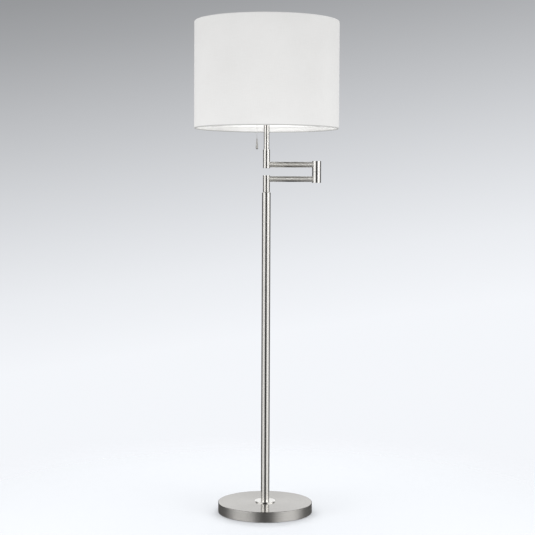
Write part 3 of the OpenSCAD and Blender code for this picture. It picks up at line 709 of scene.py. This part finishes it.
@dataclass
class PullSwitch:
    """The ball chain, its knob and the slider behind it."""

    chain_x: float = -28 * MM
    chain_top: float = 1167 * MM
    chain_end: float = 1093 * MM
    step: float = 5 * MM
    eyelet_z: float = 1144.5 * MM
    chain_d: float = 1.8 * MM
    ball_pitch: float = 2.5 * MM
    link_d: float = 0.6 * MM

    def route(self) -> list[Point]:
        """Returns the chain's centreline, from the slider down to the knob."""
        count = math.ceil((self.chain_top - self.chain_end) / self.step)
        heights = [self.chain_top - self.step * i for i in range(count)] + [self.chain_end]
        return [(self.chain_x, 0.0, z) for z in heights]

    def build_chain(self) -> bpy.types.Object:
        """Returns the chain: hollow balls on short links, all along the route."""
        tree = ShapeTree("ball_chain")
        ball_r = tree.add_input("Ball radius", "Float", self.chain_d / 2)
        link_r = tree.add_input("Link radius", "Float", self.link_d / 2)
        pitch = tree.add_input("Pitch", "Float", self.ball_pitch)
        metal = tree.add_input("Metal", "Material", Metals.CHAIN.material())
        path = tree.node("GeometryNodeMeshToCurve", None, {0: tree.source["Geometry"]})[0]
        spacing = {"Curve": path, "Length": pitch}
        spaced = tree.node("GeometryNodeResampleCurve", {"mode": "LENGTH"}, spacing)[0]
        sphere_feeds = {"Segments": 16, "Rings": 9, "Radius": ball_r}
        ball = tree.node("GeometryNodeMeshUVSphere", None, sphere_feeds)[0]
        placed = {"Points": spaced, "Instance": ball}
        balls = tree.node("GeometryNodeInstanceOnPoints", None, placed)[0]
        ring_feeds = {"Resolution": 8, "Radius": link_r}
        ring = tree.node("GeometryNodeCurvePrimitiveCircle", None, ring_feeds)[0]
        swept = {"Curve": path, "Profile Curve": ring, "Fill Caps": True}
        wire = tree.node("GeometryNodeCurveToMesh", None, swept)[0]
        joined = tree.node("GeometryNodeJoinGeometry", None, {0: balls})
        tree.feed(joined.made.inputs[0], wire)
        chain = mesh_object("ball_chain", polyline("ball_chain", self.route()))
        tree.run(chain, joined[0], metal)
        return chain

    def build(self, frame: Frame) -> None:
        chain = self.build_chain()
        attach(chain, "pull_switch")
        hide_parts("pull_chain")
        log.info("ball_chain: %d faces", len(chain.data.polygons))
        dress(frame, Metals.KNOB, "pull_knob", "chain_eyelet")
        dress(frame, Bodies.NYLON, "switch_slider")
        dress(frame, Metals.ZINC, "switch_spring")


@dataclass
class Stand:
    """The base, the pole and what holds them together."""

    felt_edge: float = 0.6 * MM
    felt_fuzz: float = 0.12 * MM
    felt_segments: int = 160
    felt_edge_steps: int = 6
    felt_rings: tuple[float, ...] = (0.25, 0.5, 0.75, 0.9)
    felt_fuzz_power: int = 8
    felt_seed: int = 11

    def felt_outline(self, radius: float, bottom: float, top: float) -> list[Pair]:
        """Returns the felt's section, with rounded edges, as points of radius and height."""
        edge = self.felt_edge
        count = self.felt_edge_steps
        lower = []
        for angle in [i / count * math.pi / 2 for i in range(count + 1)]:
            reach = radius - edge + edge * math.sin(angle)
            lower.append((reach, bottom + edge - edge * math.cos(angle)))
        upper = [(r, top + bottom - z) for r, z in reversed(lower)]
        inner = [radius * share for share in self.felt_rings]
        under = [(r, bottom) for r in inner]
        return under + lower + upper + [(r, top) for r in reversed(inner)]

    def build_felt(self) -> bpy.types.Object:
        """Returns the felt pad, a disc with soft edges and a slightly uneven rim."""
        low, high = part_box("base_felt")
        radius = (high.x - low.x) / 2
        outline = self.felt_outline(radius, low.z, high.z)
        rim = random.Random(self.felt_seed)
        made = bmesh.new()
        rings = []
        for i in range(self.felt_segments):
            angle = 2 * math.pi * i / self.felt_segments
            swell = rim.uniform(-self.felt_fuzz, self.felt_fuzz)
            ring = []
            for r, z in outline:
                reach = r + swell * (r / radius) ** self.felt_fuzz_power
                spot = (reach * math.cos(angle), reach * math.sin(angle), z)
                ring.append(made.verts.new(spot))
            rings.append(ring)
        centres = [made.verts.new((0.0, 0.0, z)) for z in (low.z, high.z)]
        for ring, following in zip(rings, rings[1:] + rings[:1]):
            for j in range(len(outline) - 1):
                made.faces.new((ring[j], following[j], following[j + 1], ring[j + 1]))
            made.faces.new((centres[0], following[0], ring[0]))
            made.faces.new((centres[1], ring[-1], following[-1]))
        bmesh.ops.recalc_face_normals(made, faces=made.faces)
        mesh = bpy.data.meshes.new("felt_pad")
        made.to_mesh(mesh)
        made.free()
        mesh.polygons.foreach_set("use_smooth", [True] * len(mesh.polygons))
        return mesh_object("felt_pad", mesh, Bodies.FELT)

    def build(self, frame: Frame) -> None:
        """Makes the felt and dresses the stand's parts."""
        felt = self.build_felt()
        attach(felt, "stand")
        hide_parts("base_felt")
        log.info("felt_pad: %d faces", len(felt.data.polygons))
        dress(frame, Metals.BASE_PAINTED_SHADE, "base_shell")
        dress(frame, Metals.POLE, "pole_tube")
        dress(frame, Metals.FINE, "pole_top_collar")
        dress(frame, Metals.POLISHED, "pole_washer")
        dress(frame, Metals.CASTING, "base_weight")
        dress(frame, Bodies.BOARD, "base_backing")
        dress(frame, Bodies.BLACK_NYLON, "cable_gland")
        dress(frame, Bodies.WHITE_PLASTIC, "terminal_block")
        zinc_parts = ("pole_foot_plug", "base_nipple", "base_lock_washer", "base_nut", "stop_screw")
        dress(frame, Metals.ZINC, *zinc_parts)
        dress(frame, Bodies.NYLON, "swivel_bush")
        dress(frame, Bodies.SHEATH, "flex_stand")


@dataclass
class Arm:
    """The two links, from the swivel on the pole to the stem under the lampholder."""

    barrel_nodes: tuple[str, ...] = (
        "barrel_lower", "barrel_upper", "barrel_lower_cap", "barrel_upper_cap",
    )

    def barrel_finish(self) -> BrushedNickel:
        """Returns brushed nickel whose lines run round the barrel's own axis."""
        low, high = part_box("barrel_upper")
        middle = (low + high) / 2
        return replace(Metals.FINE, name="nickel_round_barrel", centre=(middle.x, middle.y, 0.0))

    def build(self, frame: Frame) -> None:
        """Dresses the arm's parts."""
        upright = ("lower_riser", "lower_riser_cap", "upper_riser", "upper_riser_cap", "stem_tube")
        dress(frame, Metals.POLE, *upright)
        dress(frame, Metals.ARM_TUBE_PAINTED_HIGHLIGHT, "lower_arm_tube", "upper_arm_tube")
        dress(frame, self.barrel_finish(), *self.barrel_nodes)
        dress(frame, Metals.ZINC, "swivel_spindle", "spindle_circlip")
        dress(frame, Metals.ZINC, "pivot_bolt", "pivot_nut", "disc_spring")
        dress(frame, Metals.ZINC, "stem_coupler", "stem_top_plug", "stem_nipple", "stem_locknut")
        dress(frame, Bodies.NYLON, "thrust_washer", "friction_disc")
        dress(frame, Bodies.SHEATH, "flex_lower_arm", "flex_upper_arm")


@dataclass
class Lampholder:
    """The switch housing, the holder and the bulb."""

    def build(self, frame: Frame) -> None:
        """Dresses the holder's parts and the bulb."""
        plastic = ("switch_housing", "lampholder_sleeve", "shade_nut_lower", "shade_nut_upper")
        dress(frame, Bodies.WHITE_PLASTIC, *plastic)
        dress(frame, Bodies.PORCELAIN, "lampholder_insert")
        dress(frame, Metals.BRASS, "screw_shell", "centre_contact")
        dress(frame, Metals.LAMP_CAP, "bulb_cap")
        dress(frame, Bodies.GLASS, "bulb_glass")


@dataclass
class DrumShade:
    """The cloth drum on its film, its two wire rings and the fitter."""

    cloth_t: float = 0.6 * MM
    seam: float = 12 * MM
    layer: float = 0.65 * MM
    ring_room: float = 0.3 * MM
    tail: float = 10 * MM
    tail_gap: float = 3.2 * MM
    seam_azimuth: float = math.pi / 2
    round_steps: int = 192
    bend_steps: int = 14
    wall_steps: int = 12
    flat: Pair = field(default=(0.0, 0.0), init=False)

    HEM_NODES: ClassVar[tuple[str, ...]] = ("shade_lining", "shade_top_ring", "shade_bottom_ring")

    def hem(self, ring: str, down: int) -> list[Pair]:
        """Returns a hem's section, from its tail inside the shade round the ring to the wall.

        Args:
            ring: The node of the wire ring that the cloth is turned over.
            down: -1 for the lower ring and 1 for the upper one.

        Returns:
            Points of radius and height.
        """
        low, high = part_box(ring)
        wire = (high.z - low.z) / 2
        ring_r = high.x - wire
        ring_z = (high.z + low.z) / 2
        room = wire + self.cloth_t / 2 + self.ring_room
        outward = self.wall_radius() - ring_r
        tail_r = self.film_inner_radius() - self.cloth_t / 2 - self.ring_room - self.layer
        drops = [self.tail * share + self.tail_gap for share in (1.0, 0.5, 0.0)]
        tail = [(tail_r, ring_z - down * drop) for drop in drops]
        bend = []
        for i in range(self.bend_steps + 1):
            angle = math.pi * (1 - i / self.bend_steps)
            reach = room if math.cos(angle) < 0 else outward
            bend.append((ring_r + reach * math.cos(angle), ring_z + down * room * math.sin(angle)))
        return tail + bend

    def wall_radius(self) -> float:
        """Returns the radius of the middle of the cloth in the drum's wall."""
        low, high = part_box("shade_fabric")
        return (high.x - low.x) / 2 - self.cloth_t / 2

    def film_inner_radius(self) -> float:
        """Returns the inner radius of the film that the cloth is laminated to."""
        corners = frame_vertices("shade_lining")
        return min(math.hypot(x, y) for x, y, _ in corners)

    def section(self) -> list[Pair]:
        """Returns the cloth's whole section, from the lower tail up to the upper tail."""
        lower = self.hem("shade_bottom_ring", -1)
        upper = self.hem("shade_top_ring", 1)[::-1]
        start, end = lower[-1], upper[0]
        shares = [i / self.wall_steps for i in range(1, self.wall_steps)]
        wall = [(start[0], start[1] + (end[1] - start[1]) * share) for share in shares]
        return lower + wall + upper

    def build_cloth(self) -> bpy.types.Object:
        """Returns the cloth: its section swept round a little more than one turn."""
        section = self.section()
        wall_r = self.wall_radius()
        length = sum(math.dist(a, b) for a, b in zip(section, section[1:]))
        turns = 1 + self.seam / (2 * math.pi * wall_r)
        self.flat = (length, 2 * math.pi * wall_r * turns)
        tree = ShapeTree("wound_drum")
        radius = tree.add_input("Radius", "Float", wall_r)
        rise = tree.add_input("Layer", "Float", self.layer)
        turning = tree.add_input("Turns", "Float", turns)
        steps = tree.add_input("Steps in a turn", "Int", self.round_steps)
        azimuth = tree.add_input("Seam azimuth", "Float", self.seam_azimuth)
        cloth = tree.add_input("Cloth", "Material", Bodies.CLOTH.material())
        winding = {
            "Resolution": steps,
            "Rotations": turning,
            "Start Radius": radius,
            "End Radius": radius + rise * turning,
            "Height": 0.0,
        }
        spiral = tree.node("GeometryNodeCurveSpiral", None, winding)[0]
        upright = tree.node("GeometryNodeSetCurveNormal", {"mode": "Z_UP"}, {0: spiral})[0]
        outline = tree.node("GeometryNodeMeshToCurve", None, {0: tree.source["Geometry"]})[0]
        half_turn = {0: outline, "Rotation": (0.0, 0.0, math.pi)}
        outline = tree.node("GeometryNodeTransform", None, half_turn)[0]
        measured = []
        for curve, name in ((upright, "Round"), (outline, "Up")):
            along = tree.node("GeometryNodeSplineParameter")["Length"]
            feeds = {0: curve, name: along}
            measured.append(tree.node("GeometryNodeCaptureAttribute", {"captures": [name]}, feeds))
        round_way, up_way = measured
        sweep = {"Curve": round_way[0], "Profile Curve": up_way[0]}
        swept = tree.node("GeometryNodeCurveToMesh", None, sweep)[0]
        uv = tree.node("ShaderNodeCombineXYZ", None, {0: round_way["Round"], 1: up_way["Up"]})[0]
        stored = tree.node(
            "GeometryNodeStoreNamedAttribute",
            {"data_type": "FLOAT2", "domain": "CORNER"},
            {0: swept, "Name": "UVMap", "Value": uv},
        )[0]
        turned = tree.node("ShaderNodeCombineXYZ", None, {2: azimuth})[0]
        placed = tree.node("GeometryNodeTransform", None, {0: stored, "Rotation": turned})[0]
        points = [(r - wall_r, z, 0.0) for r, z in section]
        drum = mesh_object("shade_cloth", polyline("shade_cloth", points))
        tree.run(drum, placed, cloth)
        thicken = drum.modifiers.new("thickness", "SOLIDIFY")
        thicken.thickness = self.cloth_t
        thicken.offset = 0.0
        thicken.use_even_offset = True
        bake_modifiers(drum)
        return drum

    def build(self, frame: Frame) -> None:
        """Makes the cloth and dresses the film, the rings and the fitter."""
        drum = self.build_cloth()
        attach(drum, "upper_arm")
        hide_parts("shade_fabric")
        log.info("shade_cloth: %d faces, cut %.3f x %.3f", len(drum.data.polygons), *self.flat)
        dress(frame, Bodies.FILM, "shade_lining")
        dress(frame, Bodies.POWDER_COAT, "shade_fitter", "shade_bottom_ring", "shade_top_ring")


def frame_vertices(node: str) -> list[Point]:
    """Returns the places of a CAD node's vertices."""
    return [tuple(v.co) for v in bpy.data.objects[node].data.vertices]


# ---- the studio ----


@dataclass(frozen=True)
class Window:
    """A band of elevations, in degrees, that a light fills, with soft ends."""

    start: float
    full: float
    fading: float
    end: float
    gain: float = 1.0

    def level(self, graph: Graph, elevation: Value) -> Value:
        """Returns the light's strength at an elevation."""
        opening = graph.smooth(elevation, self.start, self.full)
        return opening * (1.0 - graph.smooth(elevation, self.fading, self.end)) * self.gain


@dataclass
class Studio:
    """The camera, the floor, the backdrop and the light.

    The backdrop's stops are a rise above the eye's level and a grey. The mirror bands' are a
    turn away from the eye, from 0 to 1 straight behind the lamp, and a brightness. The ends of
    the mirror's and the wall's foot and head are elevations in degrees.
    """

    eye: Point = (0.0, -3.82, 0.923)
    lens: float = 88.2
    horizon_shift: float = -0.038
    pitch: float = math.radians(-2.19)
    side_shift: float = 0.0022
    roll: float = math.radians(-0.24)
    unmirrored: tuple[str, ...] = ("shade_cloth", "shade_lining", "bulb_glass")
    floor_solid_r: float = 0.4
    floor_r: float = 1.3
    floor_colour: Colour = (0.75, 0.77, 0.80)
    floor_roughness: float = 0.7
    floor_gloss: float = 0.0
    floor_fade_end: float = 0.97
    backdrop: tuple[Pair, ...] = (
        (-0.11, 0.935), (-0.057, 0.855), (-0.019, 0.768), (0.019, 0.675), (0.0575, 0.575),
        (0.096, 0.479), (0.134, 0.387), (0.168, 0.32), (0.5, 0.12),
    )
    backdrop_tint: Colour = (0.9725, 0.9925, 1.03)
    backdrop_tilt: float = 0.155
    backdrop_tilt_most: float = 0.03
    backdrop_lift: float = 0.005
    mirror_bands: tuple[Pair, ...] = (
        (0.0, 0.04), (0.10, 0.05), (0.19, 0.95), (0.30, 1.05),
        (0.44, 1.0), (0.54, 0.30), (0.62, 0.07), (1.0, 0.07),
    )
    mirror_right: float = 0.10
    mirror_foot: Pair = (-14.0, -2.0)
    mirror_foot_level: float = 0.88
    mirror_foot_gain: float = 0.12
    mirror_head: Pair = (30.0, 52.0)
    mirror_head_loss: float = 0.95
    wall_turn: Pair = (0.58, 0.75)
    wall_foot: Pair = (6.0, 15.0)
    wall_head: Pair = (22.0, 48.0)
    wall_head_loss: float = 0.88
    mirror_windows: tuple[Window, ...] = (
        Window(4.5, 6.0, 8.0, 9.5, gain=2.8),
        Window(18.0, 20.0, 25.0, 30.0),
    )
    soft_even: float = 0.375
    soft_sides: float = 0.2
    soft_overhead: float = 0.88
    low_panel_at: Point = (1.5, -1.2, 0.3)
    low_panel_aim: Point = (0.0, 0.0, 1.2)
    low_panel_size: Pair = (0.9, 0.5)
    low_panel_power: float = 20.0
    back_panel_at: Point = (0.0, 4.2, 2.6)
    back_panel_size: Pair = (5.0, 1.0)
    back_panel_power: float = 125.0

    def place_camera(self) -> None:
        """Adds the camera, looking along +Y and slightly down, and makes it the scene's."""
        data = bpy.data.cameras.new("camera")
        data.lens = self.lens
        data.shift_x = self.side_shift
        data.shift_y = self.horizon_shift
        camera = bpy.data.objects.new("camera", data)
        camera.location = self.eye
        camera.rotation_euler = (math.pi / 2 + self.pitch, self.roll, 0.0)
        bpy.context.scene.collection.objects.link(camera)
        bpy.context.scene.camera = camera
        bpy.context.scene.view_settings.view_transform = "Standard"

    def lay_floor(self) -> None:
        """Adds the round pale floor, which fades out towards its edge."""
        mesh = bpy.data.meshes.new("floor")
        made = bmesh.new()
        bmesh.ops.create_circle(made, cap_ends=True, segments=96, radius=self.floor_r)
        made.to_mesh(mesh)
        made.free()
        floor = mesh_object("floor", mesh)
        material = bpy.data.materials.new("floor_paper")
        material.use_nodes = True
        graph = Graph(material.node_tree)
        length = {"operation": "LENGTH"}
        reach = graph.node("ShaderNodeVectorMath", length, {0: graph.place()})["Value"]
        surface = {
            "Base Color": rgba(self.floor_colour),
            "Roughness": self.floor_roughness,
            "Specular IOR Level": self.floor_gloss,
        }
        paper = graph.node("ShaderNodeBsdfPrincipled", None, surface)
        clear = graph.node("ShaderNodeBsdfTransparent")
        fade = graph.smooth(reach, self.floor_solid_r, self.floor_r * self.floor_fade_end)
        mixed = graph.node("ShaderNodeMixShader", None, {0: fade, 1: paper[0], 2: clear[0]})
        graph.node("ShaderNodeOutputMaterial", None, {"Surface": mixed[0]})
        mesh.materials.append(material)
        floor.visible_glossy = False

    def paint_world(self) -> None:
        """Sets the backdrop that is seen, the bands that metal mirrors and the even soft light."""
        world = bpy.data.worlds.new("studio")
        world.use_nodes = True
        bpy.context.scene.world = world
        graph = Graph(world.node_tree)
        direction = graph.node("ShaderNodeTexCoord")["Generated"]
        parts = graph.node("ShaderNodeSeparateXYZ", None, {0: direction})
        across = (parts["X"] * parts["X"] + parts["Y"] * parts["Y"]) ** 0.5
        across = across.apply("MAXIMUM", 0.001)
        rise = parts["Z"] / across
        backdrop = self.seen(graph, parts, across, rise)
        mirrored = self.mirrored(graph, parts, rise)
        soft = self.soft_light(parts)
        path = graph.node("ShaderNodeLightPath")
        for_metal = graph.mix(path["Is Glossy Ray"], soft, mirrored)
        colour = graph.mix(path["Is Camera Ray"], for_metal, backdrop)
        sky = graph.node("ShaderNodeBackground", None, {"Color": colour})
        graph.node("ShaderNodeOutputWorld", None, {"Surface": sky[0]})

    def seen(self, graph: Graph, parts: Node, across: Value, rise: Value) -> Value:
        """Returns the backdrop: grey overhead, pale at the floor, lighter to the right."""
        most = self.backdrop_tilt_most
        tilt = (parts["X"] / across * self.backdrop_tilt).apply("MAXIMUM", -most)
        height = rise - tilt.apply("MINIMUM", most) - self.backdrop_lift
        low, high = self.backdrop[0][0], self.backdrop[-1][0]
        stops = [((place - low) / (high - low), level) for place, level in self.backdrop]
        grey = graph.ramp((height - low) / (high - low), stops)
        return graph.scaled(grey, self.backdrop_tint)

    def mirrored(self, graph: Graph, parts: Node, rise: Value) -> Value:
        """Returns what metal mirrors.

        Two wide bright panels stand left and right of a dark gap towards the eye, brighter in
        the windows. A pale wall stands behind the lamp, above the eye's level.
        """
        toward = parts["Y"] * -1.0
        turn = parts["X"].apply("ABSOLUTE").apply("ARCTAN2", toward) / math.pi
        panels = graph.ramp(turn, self.mirror_bands)
        side = 1.0 + parts["X"] * self.mirror_right
        elevation = rise.apply("ARCTANGENT") * (180 / math.pi)
        wall = graph.smooth(turn, *self.wall_turn) * graph.smooth(elevation, *self.wall_foot)
        wall = wall * (1.0 - graph.smooth(elevation, *self.wall_head) * self.wall_head_loss)
        lifted = sum(window.level(graph, elevation) for window in self.mirror_windows)
        foot = graph.smooth(elevation, *self.mirror_foot) * self.mirror_foot_gain
        low = self.mirror_foot_level + foot
        high = graph.smooth(elevation.apply("ABSOLUTE"), *self.mirror_head)
        return panels * side * (low + lifted) * (1.0 - high * self.mirror_head_loss) + wall

    def soft_light(self, parts: Node) -> Value:
        """Returns the light on what isn't a mirror: even, and stronger overhead and sideways."""
        overhead = parts["Z"].apply("MAXIMUM", 0.0) ** 2.0 * self.soft_overhead
        return self.soft_even + parts["X"].apply("ABSOLUTE") * self.soft_sides + overhead

    def hang_light(self, name: str, at: Point, aim: Point, size: Pair, power: float) -> None:
        """Adds a soft panel light that metal doesn't mirror.

        Args:
            name: The light's name.
            at: Its place.
            aim: The point that it faces.
            size: Its width and height.
            power: Its power in watts.
        """
        data = bpy.data.lights.new(name, "AREA")
        data.shape = "RECTANGLE"
        data.size, data.size_y = size
        data.energy = power
        light = bpy.data.objects.new(name, data)
        light.location = at
        light.rotation_mode = "QUATERNION"
        light.rotation_quaternion = (Vector(aim) - Vector(at)).to_track_quat("-Z", "Y")
        light.visible_glossy = False
        light.visible_camera = False
        bpy.context.scene.collection.objects.link(light)

    def build(self) -> None:
        """Sets up everything but the camera, which comes before the cords."""
        self.lay_floor()
        self.paint_world()
        x, y, z = self.low_panel_at
        low_panel = (self.low_panel_aim, self.low_panel_size, self.low_panel_power)
        for side, name in ((-1, "low_panel_left"), (1, "low_panel_right")):
            self.hang_light(name, (side * x, y, z), *low_panel)
        back_panel = (self.back_panel_at, ORIGIN, self.back_panel_size, self.back_panel_power)
        self.hang_light("back_panel", *back_panel)
        for name in self.unmirrored:
            bpy.data.objects[name].visible_glossy = False
        log.info("studio ready")


def main() -> None:
    """Builds the lamp's looks in order."""
    logging.basicConfig(level=logging.INFO, format="%(name)s: %(message)s", stream=sys.stdout)
    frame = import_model()
    studio = Studio()
    studio.place_camera()
    for assembly in (PullSwitch(), Stand(), Arm(), Lampholder(), DrumShade()):
        assembly.build(frame)
    studio.build()


if __name__ == "__main__":
    main()
